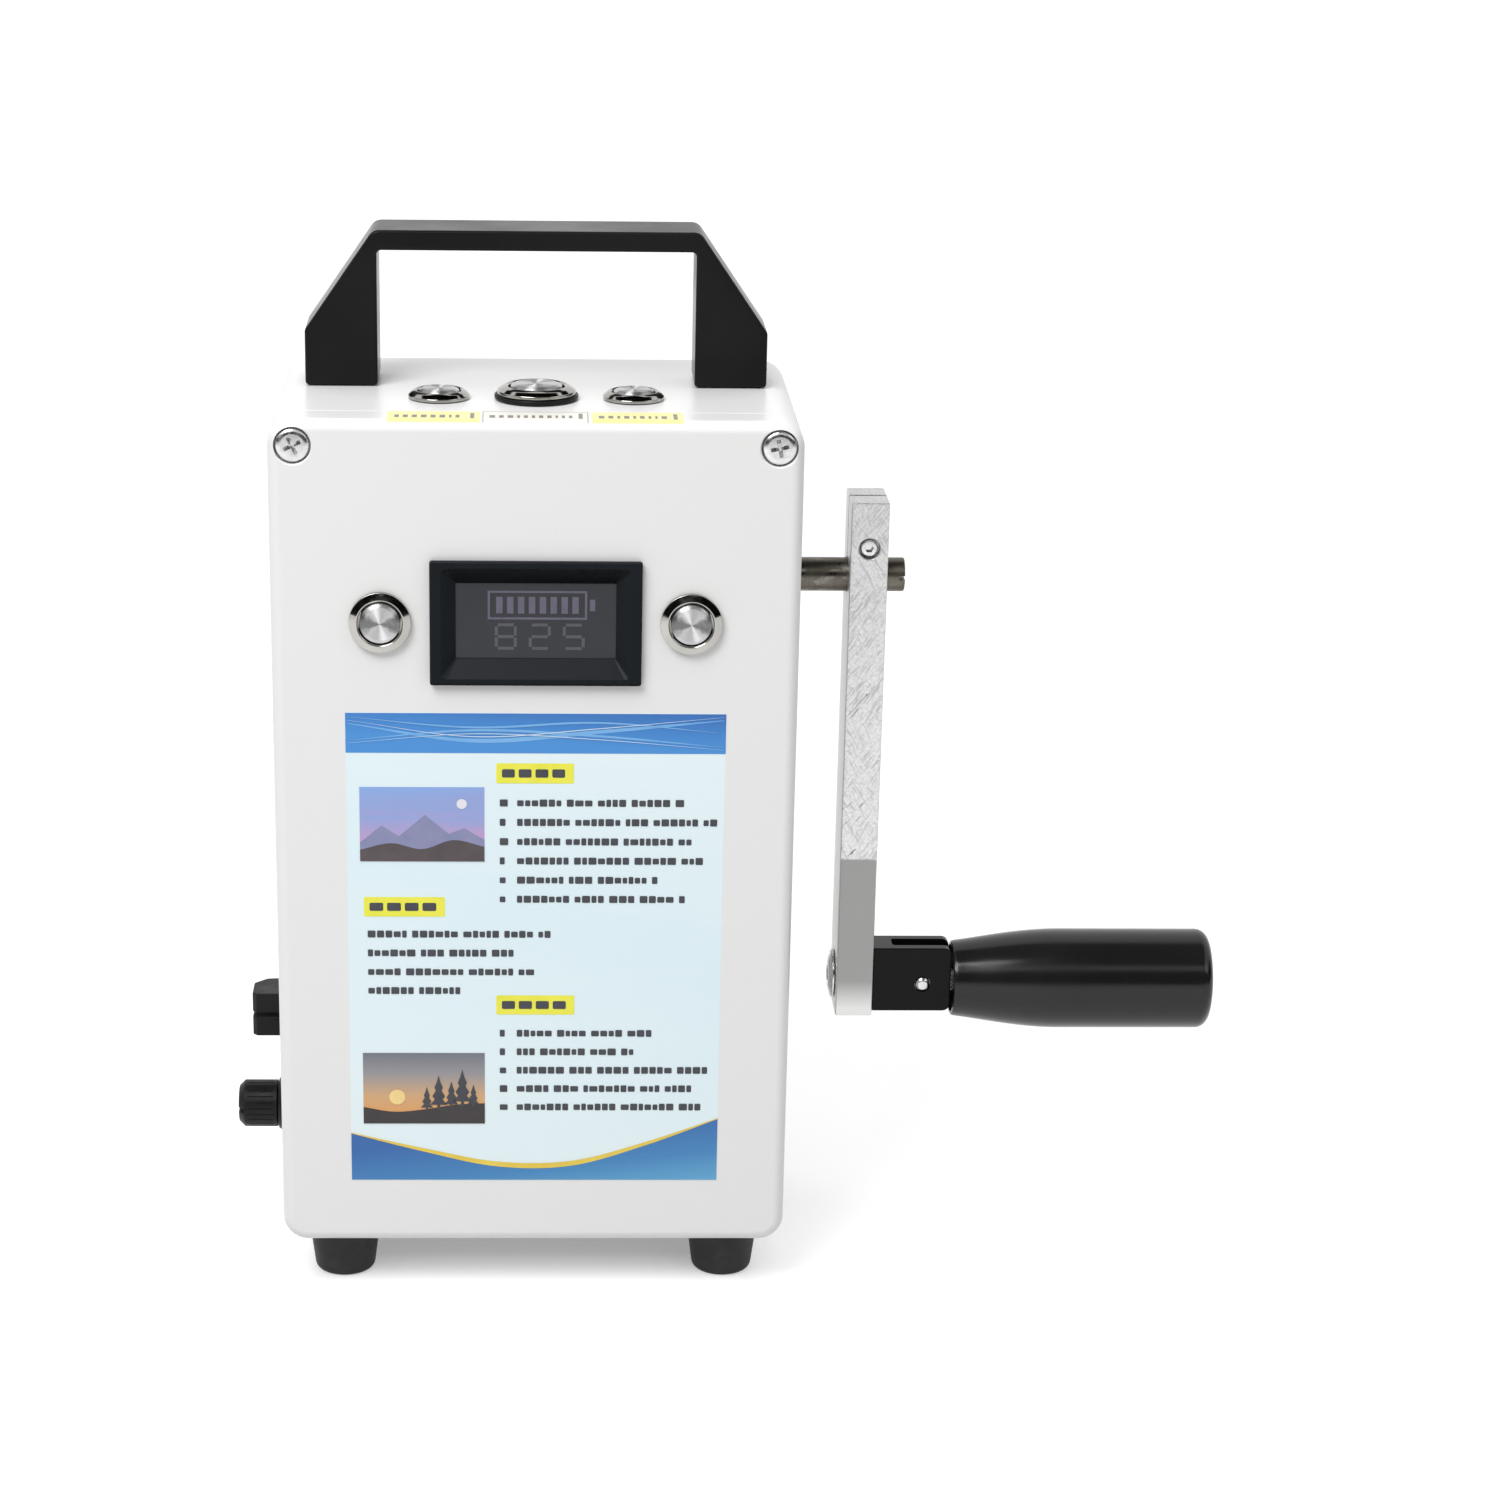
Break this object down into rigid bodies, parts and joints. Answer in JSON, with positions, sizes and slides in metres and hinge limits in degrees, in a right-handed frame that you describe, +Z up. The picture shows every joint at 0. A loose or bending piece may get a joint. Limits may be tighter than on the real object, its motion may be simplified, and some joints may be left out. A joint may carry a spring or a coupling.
{
  "type": "hand crank generator",
  "caption": "Portable box generator with a side crank and folding grip, carry handle, panel meter, push buttons, sockets and rubber feet; geared generator and battery inside.",
  "frame": {"origin": "middle of the bounding box, crank and grip included, on the floor under the feet", "axes": "+Z up, -Y out of the front panel, +X out of the crank side"},
  "size_m": [0.2384, 0.0798, 0.249],
  "materials": {
    "white_plastic": "glossy moulded white",
    "black_gloss": "glossy moulded black",
    "black_plastic": "moulded black",
    "rubber": "matte",
    "nickel": "polished nickel plating",
    "steel": "turned steel",
    "aluminium": "linished flat bar",
    "brass": "turned brass",
    "meter_glass": "grey display window",
    "board": "green circuit board",
    "battery_sleeve": "blue shrink sleeve",
    "laminations": "stacked laminations"
  },
  "bodies": {
    "housing": {"rear_housing": "white_plastic", "front_cover": "white_plastic", "cover_screw_left": "nickel", "cover_screw_right": "nickel", "carry_handle": "black_gloss", "handle_screw_left": "steel", "handle_screw_right": "steel", "foot_front_left": "rubber", "foot_front_right": "rubber", "foot_rear_left": "rubber", "foot_rear_right": "rubber", "meter_case": "black_gloss", "meter_window": "meter_glass", "meter_board": "board", "front_left_button_body": "nickel", "front_left_button_nut": "nickel", "front_right_button_body": "nickel", "front_right_button_nut": "nickel", "top_left_button_body": "nickel", "top_left_button_nut": "nickel", "top_middle_button_body": "nickel", "top_middle_button_nut": "nickel", "top_middle_gasket": "rubber", "top_right_button_body": "nickel", "top_right_button_nut": "nickel", "terminal_body": "black_plastic", "fuse_holder_body": "black_plastic", "charging_jack": "black_plastic", "usb_socket": "black_plastic", "ac_outlet": "black_plastic", "shaft_bushing": "brass", "gearbox_frame": "aluminium", "gearbox_plate": "aluminium", "generator_case": "steel", "generator_stator": "laminations", "battery_pack": "battery_sleeve", "inverter_board": "board", "transformer": "laminations"},
    "crank": {"crank_shaft": "nickel", "crank_gear": "steel", "crank_arm": "aluminium", "clamp_screw": "steel", "fork_screw": "steel", "hinge_fork": "black_gloss", "hinge_pin": "steel"},
    "compound_gear": {"compound_gear": "brass"},
    "generator_rotor": {"generator_rotor": "steel"},
    "grip_spindle": {"grip_spindle": "steel", "grip_screw": "steel"},
    "grip_bushing": {"grip_bushing": "brass"},
    "grip": {"grip": "black_gloss", "grip_plug": "black_plastic"},
    "front_left_button": {"front_left_button_cap": "steel"},
    "front_right_button": {"front_right_button_cap": "steel"},
    "top_left_button": {"top_left_button_cap": "steel"},
    "top_middle_button": {"top_middle_button_cap": "steel"},
    "top_right_button": {"top_right_button_cap": "steel"},
    "upper_terminal_lever": {"terminal_lever_upper": "black_plastic"},
    "lower_terminal_lever": {"terminal_lever_lower": "black_plastic"},
    "fuse_cap": {"fuse_cap": "black_plastic"}
  },
  "joints": [
    {"name": "crank_spin", "type": "hinge", "parent": "housing", "child": "crank", "pos_m": [-0.0464, 0, 0.169], "axis": [1, 0, 0], "continuous": true},
    {"name": "compound_gear_spin", "type": "hinge", "parent": "housing", "child": "compound_gear", "pos_m": [-0.0464, 0, 0.139], "axis": [1, 0, 0], "continuous": true},
    {"name": "rotor_spin", "type": "hinge", "parent": "housing", "child": "generator_rotor", "pos_m": [-0.0464, 0, 0.113], "axis": [1, 0, 0], "continuous": true},
    {"name": "grip_fold", "type": "hinge", "parent": "crank", "child": "grip_spindle", "pos_m": [0.0486, 0, 0.067], "axis": [0, -1, 0], "range_deg": [0, 90]},
    {"name": "grip_slide", "type": "slide", "parent": "grip_spindle", "child": "grip_bushing", "axis": [1, 0, 0], "range_m": [0, 0.0065]},
    {"name": "grip_spin", "type": "hinge", "parent": "grip_bushing", "child": "grip", "pos_m": [0.0486, 0, 0.067], "axis": [1, 0, 0], "continuous": true},
    {"name": "front_left_button_press", "type": "slide", "parent": "housing", "child": "front_left_button", "axis": [0, 1, 0], "range_m": [0, 0.0015], "stiffness_N_per_m": 400, "springref_m": -0.001},
    {"name": "front_right_button_press", "type": "slide", "parent": "housing", "child": "front_right_button", "axis": [0, 1, 0], "range_m": [0, 0.0015], "stiffness_N_per_m": 400, "springref_m": -0.001},
    {"name": "top_left_button_press", "type": "slide", "parent": "housing", "child": "top_left_button", "axis": [0, 0, -1], "range_m": [0, 0.0015], "stiffness_N_per_m": 400, "springref_m": -0.001},
    {"name": "top_middle_button_press", "type": "slide", "parent": "housing", "child": "top_middle_button", "axis": [0, 0, -1], "range_m": [0, 0.0015], "stiffness_N_per_m": 400, "springref_m": -0.001},
    {"name": "top_right_button_press", "type": "slide", "parent": "housing", "child": "top_right_button", "axis": [0, 0, -1], "range_m": [0, 0.0015], "stiffness_N_per_m": 400, "springref_m": -0.001},
    {"name": "upper_lever_press", "type": "hinge", "parent": "housing", "child": "upper_terminal_lever", "pos_m": [-0.1034, 0.0055, 0.0615], "axis": [0, 0, 1], "range_deg": [0, 15], "stiffness_Nm_per_rad": 0.02, "springref_deg": -17.19},
    {"name": "lower_lever_press", "type": "hinge", "parent": "housing", "child": "lower_terminal_lever", "pos_m": [-0.1034, 0.0055, 0.0555], "axis": [0, 0, 1], "range_deg": [0, 15], "stiffness_Nm_per_rad": 0.02, "springref_deg": -17.19},
    {"name": "fuse_cap_turn", "type": "hinge", "parent": "housing", "child": "fuse_cap", "pos_m": [-0.1064, 0, 0.0334], "axis": [1, 0, 0], "range_deg": [0, 90]}
  ],
  "couplings": [
    {"joint": "compound_gear_spin", "follows": "crank_spin", "ratio": -4},
    {"joint": "rotor_spin", "follows": "crank_spin", "ratio": 13.333},
    {"joint": "grip_slide", "follows": "grip_fold", "m_per_rad": 0.004138}
  ]
}
